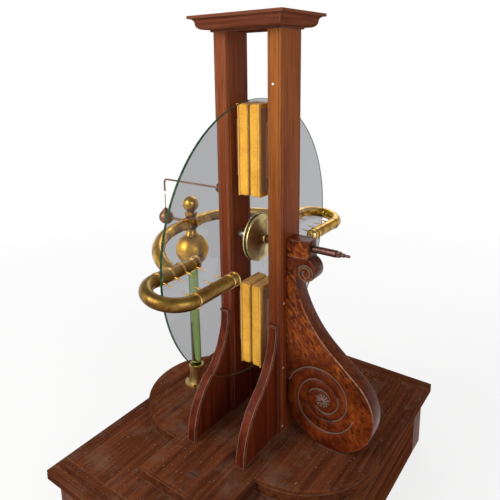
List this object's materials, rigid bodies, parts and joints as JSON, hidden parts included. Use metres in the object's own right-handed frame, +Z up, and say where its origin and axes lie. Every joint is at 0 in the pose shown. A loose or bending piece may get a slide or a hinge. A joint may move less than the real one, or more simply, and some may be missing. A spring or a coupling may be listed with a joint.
{
  "type": "friction electrostatic machine",
  "caption": "Frictional plate generator: a glass plate turns between sprung leather rubbers in a tall wooden frame, and a brass conductor on a glass column collects the charge with combs.",
  "frame": {"origin": "middle of the plinth's underside, below the plane of the glass plate", "axes": "+Z up; +X along the shaft towards its free crank end, so the conductor is at -X; the plate lies in the YZ plane, with -Y at the front"},
  "size_m": [0.583, 0.772, 1.097],
  "materials": {
    "mahogany": "polished shellac",
    "plinth_walnut": "worn oil",
    "burl_veneer": "polished burl veneer",
    "dark_pegs": "dark dowel",
    "brass": "lacquered and tarnished",
    "bush_bronze": "turned",
    "spring_brass": "rolled strip",
    "shaft_iron": "turned and browned",
    "collar_steel": "turned",
    "plate_glass": "clear with a green edge",
    "column_glass": "green cast glass",
    "yellow_leather": "chamois over padding",
    "washer_leather": "cut sole leather"
  },
  "bodies": {
    "frame": {"plinth_top": "plinth_walnut", "plinth_clamps": "plinth_walnut", "clamp_pegs": "dark_pegs", "plinth_stiles": "plinth_walnut", "plinth_side_aprons": "plinth_walnut", "plinth_end_aprons": "plinth_walnut", "base_board": "mahogany", "crank_lobe": "mahogany", "conductor_lobe": "mahogany", "hold_down_screws": "mahogany", "crank_post": "mahogany", "conductor_post": "mahogany", "crank_front_bracket": "mahogany", "crank_back_bracket": "mahogany", "conductor_front_bracket": "mahogany", "conductor_back_bracket": "mahogany", "neck_board": "mahogany", "cornice": "mahogany", "scroll_bracket": "burl_veneer", "crank_post_bush": "bush_bronze", "conductor_post_bush": "bush_bronze", "scroll_bush": "bush_bronze", "upper_crank_spring": "spring_brass", "upper_conductor_spring": "spring_brass", "lower_crank_spring": "spring_brass", "lower_conductor_spring": "spring_brass", "column_foot": "brass", "foot_screws": "brass", "glass_column": "column_glass", "large_ball": "brass", "ball_neck": "brass", "tee_ball": "brass", "finial": "brass", "arc_tube": "brass", "front_comb": "brass", "back_comb": "brass", "front_comb_points": "brass", "back_comb_points": "brass", "front_comb_fittings": "brass", "back_comb_fittings": "brass", "side_rod": "brass", "side_ball": "brass", "needle": "brass", "rod_boss": "brass"},
    "rotor": {"shaft": "shaft_iron", "shaft_collars": "collar_steel", "glass_plate": "plate_glass", "hub_washers": "washer_leather", "crank_hub_flange": "brass", "conductor_hub_flange": "brass"},
    "upper_crank_rubber": {"upper_crank_cushion": "yellow_leather", "upper_crank_back": "mahogany"},
    "upper_conductor_rubber": {"upper_conductor_cushion": "yellow_leather", "upper_conductor_back": "mahogany"},
    "lower_crank_rubber": {"lower_crank_cushion": "yellow_leather", "lower_crank_back": "mahogany"},
    "lower_conductor_rubber": {"lower_conductor_cushion": "yellow_leather", "lower_conductor_back": "mahogany"},
    "swivel_rod": {"earth_rod": "shaft_iron"}
  },
  "joints": [
    {"name": "plate_spin", "type": "hinge", "parent": "frame", "child": "rotor", "pos_m": [0, 0, 0.633], "axis": [1, 0, 0], "continuous": true},
    {"name": "upper_crank_slide", "type": "slide", "parent": "frame", "child": "upper_crank_rubber", "axis": [1, 0, 0], "range_m": [0, 0.003], "stiffness_N_per_m": 1500, "deforming": ["upper_crank_spring"]},
    {"name": "upper_conductor_slide", "type": "slide", "parent": "frame", "child": "upper_conductor_rubber", "axis": [-1, 0, 0], "range_m": [0, 0.003], "stiffness_N_per_m": 1500, "deforming": ["upper_conductor_spring"]},
    {"name": "lower_crank_slide", "type": "slide", "parent": "frame", "child": "lower_crank_rubber", "axis": [1, 0, 0], "range_m": [0, 0.003], "stiffness_N_per_m": 1500, "deforming": ["lower_crank_spring"]},
    {"name": "lower_conductor_slide", "type": "slide", "parent": "frame", "child": "lower_conductor_rubber", "axis": [-1, 0, 0], "range_m": [0, 0.003], "stiffness_N_per_m": 1500, "deforming": ["lower_conductor_spring"]},
    {"name": "earth_rod_swivel", "type": "hinge", "parent": "frame", "child": "swivel_rod", "pos_m": [-0.15, 0, 0.73], "axis": [1, 0, 0], "range_deg": [-90, 90]}
  ]
}
